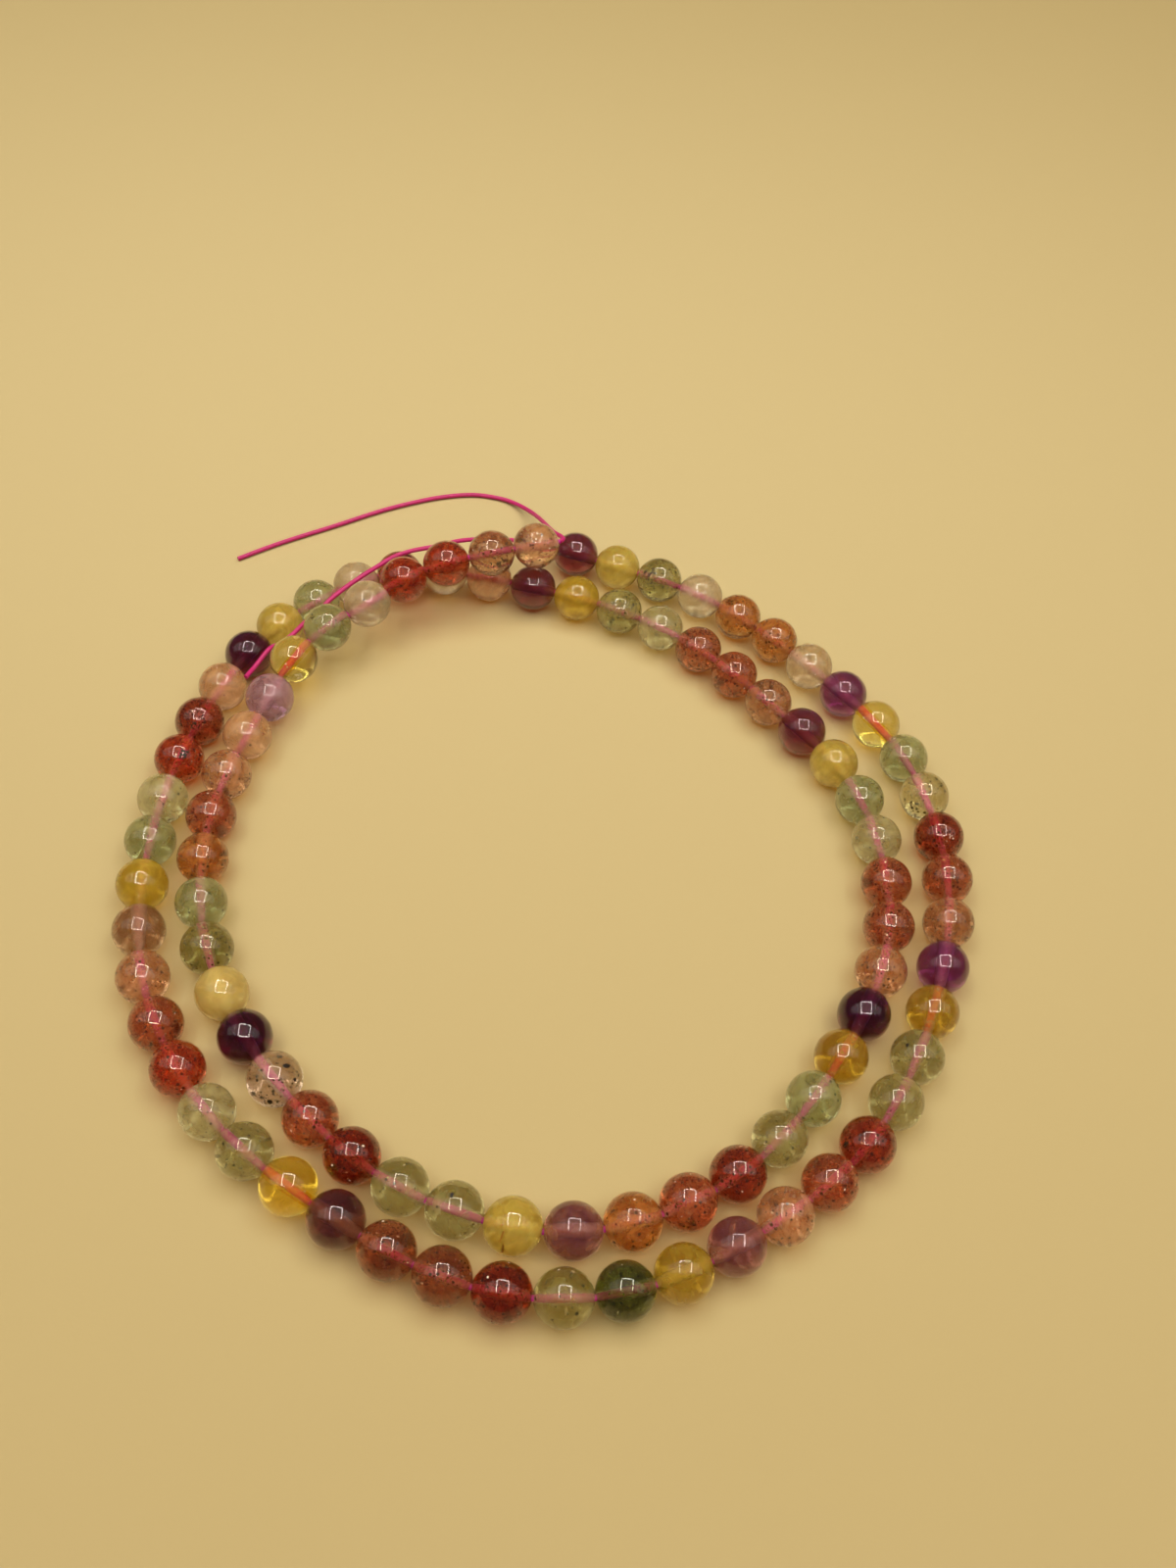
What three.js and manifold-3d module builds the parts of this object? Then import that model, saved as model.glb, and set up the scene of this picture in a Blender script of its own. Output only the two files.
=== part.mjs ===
// Crystal bracelet: 93 round quartz beads on one elastic thread, laid down in two turns.
//
// Lengths are in millimetres and +Z is up. The strand lies on z = 0. It starts at the back, runs
// clockwise round the outer turn, goes on round the inner turn, and its last beads climb over the
// outer turn, back to where it began. A loose tail of thread leaves each end.

import * as THREE from "three";
import { mergeVertices } from "three/addons/utils/BufferGeometryUtils.js";
import Module from "manifold-3d";

const wasm = await Module();
wasm.setup();

// ---------- driving dimensions ----------

const BEAD_COUNT = 93;
const BEAD_DIAMETER = 6;
const BORE_DIAMETER = 1;
const THREAD_DIAMETER = 0.6;

const SINGLE_BEADS = 41; // the first beads of the strand are pieces of their own
const STRETCH_BEADS = 4; // the others are joined along their thread, four at a time

const SINGLE_SIDES = 10; // flats round a single bead's bore
const STRETCH_SIDES = 8; // flats round a joined bead
const BEAD_BANDS = 5; // rows of flats from one drilled end to the other
const THREAD_SIDES = 4; // flats of the thread through the single beads
const CORE_SIDES = 4; // flats of the thread that joins a stretch
const TAIL_SIDES = 8;
const TAIL_STEP = 3.2; // thread diameters from one ring of a tail to the next
const CURVE_SAMPLES = 6000; // for even spacing along the strand

const BEAD_RADIUS = BEAD_DIAMETER / 2;
const BORE_RADIUS = BORE_DIAMETER / 2;
const THREAD_RADIUS = THREAD_DIAMETER / 2;
const END_FACE = Math.sqrt(BEAD_RADIUS ** 2 - BORE_RADIUS ** 2); // from centre to drilled end

// The line through the bead centres, as angles in degrees round the middle of the turns, with
// distances from it and heights. Smaller angles go clockwise, and a whole turn takes 360.
const STRAND_ROUTE = [
  { angle: 93, radius: 56.5, height: 3 },
  { angle: 74, radius: 52.5, height: 3 },
  { angle: 53, radius: 49, height: 3 },
  { angle: 32, radius: 48, height: 3 },
  { angle: 10, radius: 45.5, height: 3 },
  { angle: -14, radius: 43, height: 3 },
  { angle: -38, radius: 43, height: 3 },
  { angle: -62, radius: 43.5, height: 3 },
  { angle: -80, radius: 45, height: 3 },
  { angle: -97, radius: 45, height: 3 },
  { angle: -116, radius: 44, height: 3 },
  { angle: -140, radius: 45.5, height: 3 },
  { angle: -162, radius: 47.5, height: 3 },
  { angle: -184, radius: 49, height: 3 },
  { angle: -205, radius: 52, height: 3 },
  { angle: -224, radius: 56, height: 3 },
  { angle: -242, radius: 56.5, height: 3 },
  { angle: -261, radius: 50, height: 3 }, // the inner turn starts here
  { angle: -282, radius: 45, height: 3 },
  { angle: -305, radius: 40.5, height: 3 },
  { angle: -331, radius: 39.5, height: 3 },
  { angle: -359, radius: 37.5, height: 3 },
  { angle: -388, radius: 35.5, height: 3 },
  { angle: -417, radius: 37, height: 3 },
  { angle: -444, radius: 38.5, height: 3 },
  { angle: -471, radius: 38, height: 3 },
  { angle: -499, radius: 38, height: 3 },
  { angle: -526, radius: 40.5, height: 3 },
  { angle: -551, radius: 43.5, height: 3 },
  { angle: -574, radius: 47, height: 4 }, // here the strand climbs over the outer turn
  { angle: -584, radius: 49, height: 6 },
  { angle: -594, radius: 49.5, height: 7 },
  { angle: -603, radius: 51.5, height: 7.5 },
  { angle: -613, radius: 51, height: 9 },
  { angle: -621, radius: 52, height: 9 },
];

// The long tail starts about 0.3 from the last bead's drilled end. It comes down behind the strand,
// then lies on the surface.
const LONG_TAIL_ROUTE = [
  { x: -5.1, y: 52.5, z: 9.0 },
  { x: -4.7, y: 53.1, z: 8.9 },
  { x: -5.0, y: 54.0, z: 8.5 },
  { x: -5.8, y: 55.1, z: 7.9 },
  { x: -6.6, y: 56.7, z: 7.0 },
  { x: -7.4, y: 58.8, z: 5.8 },
  { x: -8.3, y: 61.4, z: 4.2 },
  { x: -9.4, y: 64.0, z: 2.6 },
  { x: -10.9, y: 66.4, z: 1.3 },
  { x: -12.7, y: 68.1, z: 0.6 },
  { x: -14.8, y: 69.0, z: 0.38 },
  { x: -18.6, y: 69.3, z: 0.35 },
  { x: -22.9, y: 68.3, z: 0.35 },
  { x: -27.2, y: 66.5, z: 0.35 },
  { x: -31.7, y: 64.1, z: 0.35 },
  { x: -37.0, y: 60.7, z: 0.35 },
  { x: -42.2, y: 57.5, z: 0.35 },
  { x: -45.8, y: 55.1, z: 0.35 },
  { x: -49.2, y: 52.6, z: 0.35 },
];

// The short tail starts about 0.3 from the first bead's drilled end. It climbs over the tops of the
// outer beads, then lies in the groove between the turns.
const SHORT_TAIL_ROUTE = [
  { x: -6.05, y: 57.35, z: 3.0 },
  { x: -7.5, y: 57.75, z: 3.0 },
  { x: -9.8, y: 57.8, z: 3.3 },
  { x: -12.2, y: 57.0, z: 4.1 },
  { x: -14.8, y: 55.8, z: 5.1 },
  { x: -17.1, y: 54.7, z: 5.8 },
  { x: -18.8, y: 53.8, z: 6.2 },
  { x: -20.5, y: 52.8, z: 6.4 },
  { x: -22.5, y: 51.9, z: 6.4 },
  { x: -24.9, y: 50.8, z: 6.5 },
  { x: -27.0, y: 49.3, z: 6.6 },
  { x: -28.8, y: 47.7, z: 6.3 },
  { x: -30.4, y: 46.0, z: 6.2 },
  { x: -32.3, y: 44.1, z: 5.8 },
  { x: -34.2, y: 41.8, z: 5.4 },
  { x: -35.5, y: 40.0, z: 4.8 },
  { x: -36.9, y: 38.1, z: 4.7 },
  { x: -38.3, y: 35.9, z: 4.4 },
  { x: -39.5, y: 34.2, z: 4.6 },
  { x: -40.4, y: 32.5, z: 5.3 },
  { x: -41.6, y: 30.0, z: 4.9 },
  { x: -42.4, y: 27.8, z: 5.1 },
];

// The strand repeats these seven stones, and its joined stretches mix them.
const STONES = [
  { name: "amethyst", colour: 0x4a2a4c },
  { name: "citrine", colour: 0xd8b653 },
  { name: "green quartz", colour: 0x84a077 },
  { name: "pale green quartz", colour: 0xbcc8a4 },
  { name: "strawberry quartz", colour: 0xa04a3c },
  { name: "strawberry quartz", colour: 0x9c5146 },
  { name: "rose quartz", colour: 0xd6a397 },
];
const MIXED_STONE_COLOUR = 0xb98a72;
const THREAD_COLOUR = 0xc2185f;

// ---------- materials ----------

const stoneMaterial = (colour) =>
  new THREE.MeshStandardMaterial({ color: colour, roughness: 0.08, metalness: 0 });

const threadMaterial = () =>
  new THREE.MeshStandardMaterial({ color: THREAD_COLOUR, roughness: 0.5, metalness: 0 });

// ---------- the line of the strand ----------

function strandCentres() {
  const corners = STRAND_ROUTE.map(({ angle, radius, height }) => {
    const turn = THREE.MathUtils.degToRad(angle);
    return new THREE.Vector3(radius * Math.cos(turn), radius * Math.sin(turn), height);
  });
  const curve = new THREE.CatmullRomCurve3(corners, false, "catmullrom", 0.5);
  curve.arcLengthDivisions = CURVE_SAMPLES;
  const centres = curve.getSpacedPoints(BEAD_COUNT - 1);
  centres.forEach((centre) => centre.setZ(Math.max(centre.z, BEAD_RADIUS)));
  return centres;
}

// The direction of the thread through one bead, from its neighbours.
function boreDirection(centres, index) {
  const before = centres[Math.max(index - 1, 0)];
  const after = centres[Math.min(index + 1, centres.length - 1)];
  return after.clone().sub(before).normalize();
}

// The middle of a bead's drilled end. Side 1 faces the next bead, and side -1 the one before.
function drilledEnd(centres, index, side) {
  return centres[index].clone().addScaledVector(boreDirection(centres, index), side * END_FACE);
}

// A turn that puts a bead's bore along the thread and one of its flats straight underneath.
function beadTurn(direction) {
  const down = new THREE.Vector3(0, 0, -1).projectOnPlane(direction).normalize();
  const side = direction.clone().cross(down);
  return new THREE.Matrix4().makeBasis(side, direction, down);
}

// ---------- beads ----------

// Half the outline of a bead, from one drilled end to the other. Its flats touch a round bead.
function beadOutline(sides) {
  const start = Math.asin(BORE_RADIUS / BEAD_RADIUS);
  const step = (Math.PI - 2 * start) / BEAD_BANDS;
  const spread = 1 / Math.cos(Math.PI / sides);
  const outline = [];
  for (let band = 0; band <= BEAD_BANDS; band += 1) {
    const angle = start + band * step;
    const isEnd = band === 0 || band === BEAD_BANDS;
    const reach = isEnd ? BEAD_RADIUS : BEAD_RADIUS / Math.cos(step / 2);
    outline.push(new THREE.Vector2(reach * Math.sin(angle) * spread, -reach * Math.cos(angle)));
  }
  return outline;
}

function boredBeadGeometry() {
  const outline = beadOutline(SINGLE_SIDES);
  outline.push(outline[0].clone());
  return new THREE.LatheGeometry(outline, SINGLE_SIDES, Math.PI / SINGLE_SIDES);
}

function plainBeadGeometry() {
  const middle = beadOutline(STRETCH_SIDES).slice(1, -1);
  const outline = [new THREE.Vector2(0, -END_FACE), ...middle, new THREE.Vector2(0, END_FACE)];
  return new THREE.LatheGeometry(outline, STRETCH_SIDES, Math.PI / STRETCH_SIDES);
}

// ---------- thread ----------

function tubeGeometry(points, sides, steps) {
  const section = new THREE.Shape();
  for (let side = 0; side < sides; side += 1) {
    const angle = (2 * Math.PI * side) / sides;
    const x = THREAD_RADIUS * Math.cos(angle);
    const y = THREAD_RADIUS * Math.sin(angle);
    if (side === 0) section.moveTo(x, y);
    else section.lineTo(x, y);
  }
  const path = new THREE.CatmullRomCurve3(points, false, "catmullrom", 0.5);
  return new THREE.ExtrudeGeometry(section, { steps, bevelEnabled: false, extrudePath: path });
}

// The thread through the single beads, from the first drilled end to the last. It crosses each gap
// halfway between the two drilled ends.
function singleThreadGeometry(centres) {
  const last = SINGLE_BEADS - 1;
  const points = [drilledEnd(centres, 0, -1)];
  for (let index = 0; index < last; index += 1) {
    points.push(drilledEnd(centres, index, 1).lerp(drilledEnd(centres, index + 1, -1), 0.5));
  }
  points.push(drilledEnd(centres, last, 1));
  return tubeGeometry(points, THREAD_SIDES, SINGLE_BEADS);
}

function tailGeometry(route) {
  const points = route.map(({ x, y, z }) => new THREE.Vector3(x, y, z));
  const length = new THREE.CatmullRomCurve3(points, false, "catmullrom", 0.5).getLength();
  const steps = Math.floor(length / (TAIL_STEP * THREAD_DIAMETER));
  return tubeGeometry(points, TAIL_SIDES, steps);
}

// ---------- joined stretches ----------

function solidOf(geometry) {
  const bare = geometry.clone();
  bare.deleteAttribute("normal");
  bare.deleteAttribute("uv");
  const merged = mergeVertices(bare, 1e-4);
  const corners = merged.index.array;
  const triangles = [];
  for (let at = 0; at < corners.length; at += 3) {
    const [a, b, c] = corners.slice(at, at + 3);
    if (a !== b && b !== c && c !== a) triangles.push(a, b, c);
  }
  return new wasm.Manifold(
    new wasm.Mesh({
      numProp: 3,
      vertProperties: merged.attributes.position.array,
      triVerts: new Uint32Array(triangles),
    }),
  );
}

function geometryOf(solid) {
  const { vertProperties, triVerts } = solid.getMesh();
  const geometry = new THREE.BufferGeometry();
  geometry.setAttribute("position", new THREE.BufferAttribute(vertProperties, 3));
  geometry.setIndex(new THREE.BufferAttribute(triVerts, 1));
  return geometry;
}

// Beads from one index to another, joined on the thread that runs between their centres.
function stretchGeometry(centres, first, last) {
  const core = centres.slice(first, last + 1);
  let solid = solidOf(tubeGeometry(core, CORE_SIDES, core.length - 1));
  for (let index = first; index <= last; index += 1) {
    const bead = plainBeadGeometry();
    bead.applyMatrix4(beadTurn(boreDirection(centres, index)));
    bead.translate(...centres[index].toArray());
    solid = solid.add(solidOf(bead));
  }
  return geometryOf(solid);
}

// ---------- assembly ----------

function twoDigits(number) {
  return String(number).padStart(2, "0");
}

function addSingleBeads(group, centres) {
  const geometry = boredBeadGeometry();
  for (let index = 0; index < SINGLE_BEADS; index += 1) {
    const { colour } = STONES[index % STONES.length];
    const bead = new THREE.Mesh(geometry, stoneMaterial(colour));
    bead.name = `bead_${twoDigits(index + 1)}`;
    bead.quaternion.setFromRotationMatrix(beadTurn(boreDirection(centres, index)));
    bead.position.copy(centres[index]);
    group.add(bead);
  }
}

function addStretches(group, centres) {
  for (let first = SINGLE_BEADS; first < BEAD_COUNT; first += STRETCH_BEADS) {
    const last = Math.min(first + STRETCH_BEADS, BEAD_COUNT) - 1;
    const geometry = stretchGeometry(centres, first, last);
    const stretch = new THREE.Mesh(geometry, stoneMaterial(MIXED_STONE_COLOUR));
    stretch.name = `beads_${twoDigits(first + 1)}_to_${twoDigits(last + 1)}`;
    group.add(stretch);
  }
}

function addThread(group, centres) {
  const pieces = {
    thread: singleThreadGeometry(centres),
    thread_tail_long: tailGeometry(LONG_TAIL_ROUTE),
    thread_tail_short: tailGeometry(SHORT_TAIL_ROUTE),
  };
  for (const [name, geometry] of Object.entries(pieces)) {
    const mesh = new THREE.Mesh(geometry, threadMaterial());
    mesh.name = name;
    group.add(mesh);
  }
}

// The middle of the beads' box goes over the origin, and its underside to z = 0.
function standOnOrigin(group) {
  const box = new THREE.Box3().setFromObject(group, true);
  const middle = box.getCenter(new THREE.Vector3());
  group.position.set(-middle.x, -middle.y, -box.min.z);
}

const bracelet = new THREE.Group();
const centres = strandCentres();
addSingleBeads(bracelet, centres);
addStretches(bracelet, centres);
standOnOrigin(bracelet);
addThread(bracelet, centres);

export default bracelet;
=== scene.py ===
"""Crystal bracelet: round quartz beads on a pink elastic thread, laid down in two turns.

The strand lies loose and unfastened, with a free tail of thread at each end. All lengths are in
metres unless a name ends in _MM.
"""

import math
import random
from collections import namedtuple

import bmesh
import bpy
from bpy.props import FloatProperty, FloatVectorProperty, IntProperty, PointerProperty
from mathutils import Matrix, Vector, geometry


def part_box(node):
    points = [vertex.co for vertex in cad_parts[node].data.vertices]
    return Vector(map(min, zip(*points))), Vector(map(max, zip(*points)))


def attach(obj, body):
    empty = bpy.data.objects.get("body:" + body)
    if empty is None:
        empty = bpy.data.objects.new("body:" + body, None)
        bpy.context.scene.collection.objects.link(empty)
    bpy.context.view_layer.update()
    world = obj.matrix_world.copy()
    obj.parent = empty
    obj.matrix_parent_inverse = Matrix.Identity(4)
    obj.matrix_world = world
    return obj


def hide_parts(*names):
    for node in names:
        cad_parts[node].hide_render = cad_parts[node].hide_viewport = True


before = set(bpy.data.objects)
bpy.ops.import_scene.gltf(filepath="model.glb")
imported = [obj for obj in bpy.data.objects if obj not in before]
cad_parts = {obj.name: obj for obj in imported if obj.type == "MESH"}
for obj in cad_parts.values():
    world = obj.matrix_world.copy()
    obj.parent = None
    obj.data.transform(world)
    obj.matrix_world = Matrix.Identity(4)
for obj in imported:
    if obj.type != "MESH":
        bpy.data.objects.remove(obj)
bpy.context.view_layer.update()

bl_info = {
    "name": "Crystal Bracelet",
    "version": (1, 0, 0),
    "blender": (4, 5, 0),
    "location": "View3D > Sidebar > Bracelet",
    "description": "Makes a strand of quartz beads on an elastic thread",
    "category": "Add Mesh",
}

BODY = "root"
MM = 0.001

BEAD_COUNT = 93
SINGLE_BEADS = 41
STRETCH_BEADS = 4

# The line through the bead centres: degrees round the middle of the turns, millimetres from it,
# and millimetres above the surface.
STRAND_ROUTE_MM = (
    (93, 56.5, 3), (74, 52.5, 3), (53, 49, 3), (32, 48, 3), (10, 45.5, 3), (-14, 43, 3),
    (-38, 43, 3), (-62, 43.5, 3), (-80, 45, 3), (-97, 45, 3), (-116, 44, 3), (-140, 45.5, 3),
    (-162, 47.5, 3), (-184, 49, 3), (-205, 52, 3), (-224, 56, 3), (-242, 56.5, 3),
    (-261, 50, 3), (-282, 45, 3), (-305, 40.5, 3), (-331, 39.5, 3), (-359, 37.5, 3),
    (-388, 35.5, 3), (-417, 37, 3), (-444, 38.5, 3), (-471, 38, 3), (-499, 38, 3),
    (-526, 40.5, 3), (-551, 43.5, 3), (-574, 47, 4), (-584, 49, 6), (-594, 49.5, 7),
    (-603, 51.5, 7.5), (-613, 51, 9), (-621, 52, 9),
)

# The lines of the two loose tails: millimetres right, back and up from the middle of the turns. The
# long tail leaves the last bead, and the short one leaves the first bead.
LONG_TAIL_ROUTE_MM = (
    (-5.1, 52.5, 9.0), (-4.7, 53.1, 8.9), (-5.0, 54.0, 8.5), (-5.8, 55.1, 7.9), (-6.6, 56.7, 7.0),
    (-7.4, 58.8, 5.8), (-8.3, 61.4, 4.2), (-9.4, 64.0, 2.6), (-10.9, 66.4, 1.3),
    (-12.7, 68.1, 0.6), (-14.8, 69.0, 0.38), (-18.6, 69.3, 0.35), (-22.9, 68.3, 0.35),
    (-27.2, 66.5, 0.35), (-31.7, 64.1, 0.35), (-37.0, 60.7, 0.35), (-42.2, 57.5, 0.35),
    (-45.8, 55.1, 0.35), (-49.2, 52.6, 0.35),
)
SHORT_TAIL_ROUTE_MM = (
    (-6.05, 57.35, 3.0), (-7.5, 57.75, 3.0), (-9.8, 57.8, 3.3), (-12.2, 57.0, 4.1),
    (-14.8, 55.8, 5.1), (-17.1, 54.7, 5.8), (-18.8, 53.8, 6.2), (-20.5, 52.8, 6.4),
    (-22.5, 51.9, 6.4), (-24.9, 50.8, 6.5), (-27.0, 49.3, 6.6), (-28.8, 47.7, 6.3),
    (-30.4, 46.0, 6.2), (-32.3, 44.1, 5.8), (-34.2, 41.8, 5.4), (-35.5, 40.0, 4.8),
    (-36.9, 38.1, 4.7), (-38.3, 35.9, 4.4), (-39.5, 34.2, 4.6), (-40.4, 32.5, 5.3),
    (-41.6, 30.0, 4.9), (-42.4, 27.8, 5.1),
)

# What each stone is made of. "family" is its sort of quartz, "through" the colour of white light
# after one whole bead, "body" the colour of its milky part and "milk" that part's share. "vein" is
# the colour of its streaks and "veins" their strength. "wall" is how far its bore hides the thread,
# "specks" how thick the grains lie near its surface, and "red", "dark" and "cracks" count the
# crystals inside; the cracks are drawn pale, with their glint painted on. "glow" brightens the whole
# stone, and "lift" its milky part alone.
Stone = namedtuple(
    "Stone", "family through body milk vein veins wall specks red dark cracks glow lift",
    defaults=(0, 0, 0, 0, 1, 1),
)
STONE_TABLE = {
    "dark_amethyst": Stone("amethyst", (0.14, 0.016, 0.046), (0.05, 0.006, 0.009), 0.18,
                           (0.13, 0.012, 0.10), 0.3, 0.9, glow=1.22, lift=1.15),
    "wine_amethyst": Stone("amethyst", (0.27, 0.06, 0.07), (0.13, 0.02, 0.017), 0.22,
                           (0.17, 0.02, 0.11), 0.35, 0.9, glow=1.18, lift=1.2),
    "amethyst": Stone("amethyst", (0.36, 0.10, 0.28), (0.19, 0.036, 0.064), 0.26,
                      (0.12, 0.015, 0.12), 0.3, 0.75, glow=1.12, lift=1.2),
    "lilac_amethyst": Stone("amethyst", (0.68, 0.46, 0.66), (0.40, 0.23, 0.23), 0.38,
                            (0.28, 0.13, 0.17), 0.2, 0.8, lift=1.1),
    # Partly painted shade: darker than its family, for a bead nearest the camera
    "dark_smoky_amethyst": Stone("amethyst", (0.28, 0.12, 0.08), (0.155, 0.05, 0.02), 0.28,
                                 (0.10, 0.012, 0.055), 0.45, 0.9, lift=1.2),
    "light_smoky_amethyst": Stone("amethyst", (0.62, 0.45, 0.29), (0.38, 0.21, 0.088), 0.30,
                                  (0.16, 0.05, 0.03), 0.3, 0.65, lift=1.15),
    "smoky_amethyst": Stone("amethyst", (0.44, 0.24, 0.19), (0.26, 0.105, 0.055), 0.32,
                            (0.16, 0.025, 0.11), 0.45, 0.9, glow=1.06, lift=1.25),
    "milky_citrine": Stone("citrine", (0.78, 0.68, 0.27), (0.53, 0.39, 0.068), 0.46,
                           (0.38, 0.20, 0.02), 0.12, 0.9),
    "pale_citrine": Stone("citrine", (0.86, 0.76, 0.40), (0.57, 0.43, 0.13), 0.56,
                          (0.46, 0.31, 0.07), 0.05, 0.95),
    "clear_citrine": Stone("citrine", (0.92, 0.86, 0.36), (0.52, 0.38, 0.065), 0.12,
                           (0.34, 0.18, 0.02), 0.15, 0.12, cracks=5, glow=1.1),
    "olive_citrine": Stone("citrine", (0.69, 0.54, 0.13), (0.40, 0.25, 0.019), 0.28,
                           (0.24, 0.11, 0.005), 0.3, 0.45, cracks=7),
    "cloudy_citrine": Stone("citrine", (0.69, 0.54, 0.13), (0.405, 0.265, 0.022), 0.36,
                            (0.28, 0.14, 0.006), 0.12, 0.9),
    "golden_citrine": Stone("citrine", (0.72, 0.59, 0.14), (0.47, 0.315, 0.023), 0.40,
                            (0.34, 0.18, 0.01), 0.12, 0.65, glow=1.06),
    "amber_citrine": Stone("citrine", (0.84, 0.70, 0.18), (0.48, 0.325, 0.026), 0.20,
                           (0.34, 0.18, 0.01), 0.12, 0.15, cracks=5),
    "mint_quartz": Stone("green_quartz", (0.59, 0.65, 0.42), (0.35, 0.315, 0.12), 0.34,
                         (0.18, 0.16, 0.06), 0.3, 0.25, 0.1, 0, 14, 3, glow=1.04),
    "moss_quartz": Stone("green_quartz", (0.57, 0.56, 0.29), (0.34, 0.27, 0.072), 0.34,
                         (0.05, 0.04, 0.01), 0.5, 0.35, 0.5, 0, 60, 2),
    "dark_moss_quartz": Stone("green_quartz", (0.21, 0.22, 0.05), (0.105, 0.10, 0.012), 0.32,
                              (0.014, 0.018, 0.003), 0.6, 0.35, 0.4, 0, 50, 2),
    "pale_green_quartz": Stone("pale_green_quartz", (0.69, 0.69, 0.47), (0.42, 0.345, 0.155), 0.34,
                               (0.22, 0.18, 0.07), 0.3, 0.22, 0.1, 0, 14, 3, glow=1.05),
    "sage_quartz": Stone("pale_green_quartz", (0.60, 0.58, 0.35), (0.35, 0.29, 0.096), 0.32,
                         (0.18, 0.14, 0.04), 0.3, 0.22, 0.15, 0, 22, 3),
    # Partly painted shade: darker than its family, for a bead nearest the camera
    "dark_sage_quartz": Stone("pale_green_quartz", (0.54, 0.50, 0.26), (0.30, 0.232, 0.062), 0.32,
                              (0.15, 0.11, 0.03), 0.3, 0.15, 0.2, 0, 26, 3),
    "light_green_quartz": Stone("pale_green_quartz", (0.77, 0.79, 0.56), (0.50, 0.42, 0.19), 0.36,
                                (0.28, 0.22, 0.09), 0.25, 0.4, 0.08, 0, 10, 3),
    "clear_quartz": Stone("pale_green_quartz", (0.84, 0.80, 0.66), (0.51, 0.385, 0.22), 0.38,
                          (0.34, 0.23, 0.12), 0.2, 0.3, 0.03, 0, 6, 3),
    "rutile_quartz": Stone("pale_green_quartz", (0.79, 0.79, 0.54), (0.46, 0.35, 0.145), 0.18,
                           (0.20, 0.12, 0.05), 0.3, 0.3, 0.6, 0, 60, 3, glow=1.14),
    "tourmaline_quartz": Stone("pale_green_quartz", (0.80, 0.70, 0.61), (0.45, 0.31, 0.16), 0.22,
                               (0.28, 0.16, 0.07), 0.2, 0.3, 0.5, 0, 90, 0),
    "strawberry_quartz": Stone("strawberry_quartz", (0.64, 0.25, 0.12), (0.37, 0.105, 0.032), 0.34,
                               (0.12, 0.012, 0.005), 0.7, 0.4, 0.85, 70, 30, 8, glow=1.08),
    "speckled_strawberry": Stone("strawberry_quartz", (0.66, 0.27, 0.14), (0.37, 0.11, 0.035), 0.30,
                                 (0.11, 0.016, 0.006), 0.7, 0.4, 1.0, 80, 70, 6, glow=1.08),
    "deep_strawberry": Stone("strawberry_quartz", (0.55, 0.13, 0.055), (0.30, 0.045, 0.011), 0.34,
                             (0.05, 0.005, 0.002), 0.8, 0.4, 0.9, 90, 45, 6),
    "red_strawberry": Stone("strawberry_quartz", (0.66, 0.14, 0.05), (0.385, 0.055, 0.010), 0.34,
                            (0.12, 0.009, 0.003), 0.8, 0.45, 0.6, 90, 20, 8, glow=1.09),
    # Partly painted shade: darker than its family, for beads nearest the camera
    "brown_strawberry": Stone("strawberry_quartz", (0.50, 0.20, 0.085), (0.275, 0.078, 0.020), 0.32,
                              (0.07, 0.012, 0.004), 0.7, 0.4, 0.9, 70, 60, 6, glow=1.06),
    # Partly painted shade: darker than its family, for beads nearest the camera
    "dark_strawberry": Stone("strawberry_quartz", (0.44, 0.075, 0.025), (0.22, 0.024, 0.004), 0.32,
                             (0.04, 0.004, 0.002), 0.8, 0.4, 0.9, 90, 50, 6, glow=1.08),
    "tan_strawberry": Stone("strawberry_quartz", (0.66, 0.35, 0.125), (0.40, 0.152, 0.027), 0.38,
                            (0.18, 0.038, 0.01), 0.6, 0.5, 0.5, 50, 20, 6, glow=1.16),
    "rose_quartz": Stone("rose_quartz", (0.84, 0.63, 0.46), (0.51, 0.295, 0.137), 0.40,
                         (0.32, 0.13, 0.06), 0.25, 0.3, 0.05, 12, 0, 4, glow=1.09),
    "brown_rose": Stone("rose_quartz", (0.70, 0.44, 0.26), (0.41, 0.178, 0.066), 0.32,
                        (0.14, 0.03, 0.012), 0.6, 0.3, 0.8, 50, 50, 6, glow=1.05),
    "pale_rose": Stone("rose_quartz", (0.86, 0.78, 0.62), (0.52, 0.375, 0.20), 0.40,
                       (0.34, 0.17, 0.09), 0.25, 0.55, 0.05, 12, 0, 4),
    "speckled_rose": Stone("rose_quartz", (0.80, 0.56, 0.38), (0.48, 0.235, 0.10), 0.32,
                           (0.20, 0.05, 0.022), 0.5, 0.3, 0.55, 50, 34, 5, glow=1.07),
}

CLEAREST = 0.95  # the most light that a bead lets through
SPECK_SHARE = 0.65  # the share of grains, for specks of 1
CLEAR_WALL = 0.5  # a bore with less wall than this lies in clear stone
CLEAR_BORE = 0.7  # how far such a bore hides the thread, for a wall of 1


def finished(stone):
    """A stone as it is drawn, with its glow and lift worked into its colours."""
    return stone._replace(
        through=tuple(min(CLEAREST, part * stone.glow ** 0.5) for part in stone.through),
        body=tuple(part * stone.glow * stone.lift for part in stone.body),
        specks=stone.specks * SPECK_SHARE,
        wall=stone.wall * CLEAR_BORE if stone.wall < CLEAR_WALL else stone.wall,
    )


STONES = {kind: finished(stone) for kind, stone in STONE_TABLE.items()}
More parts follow.
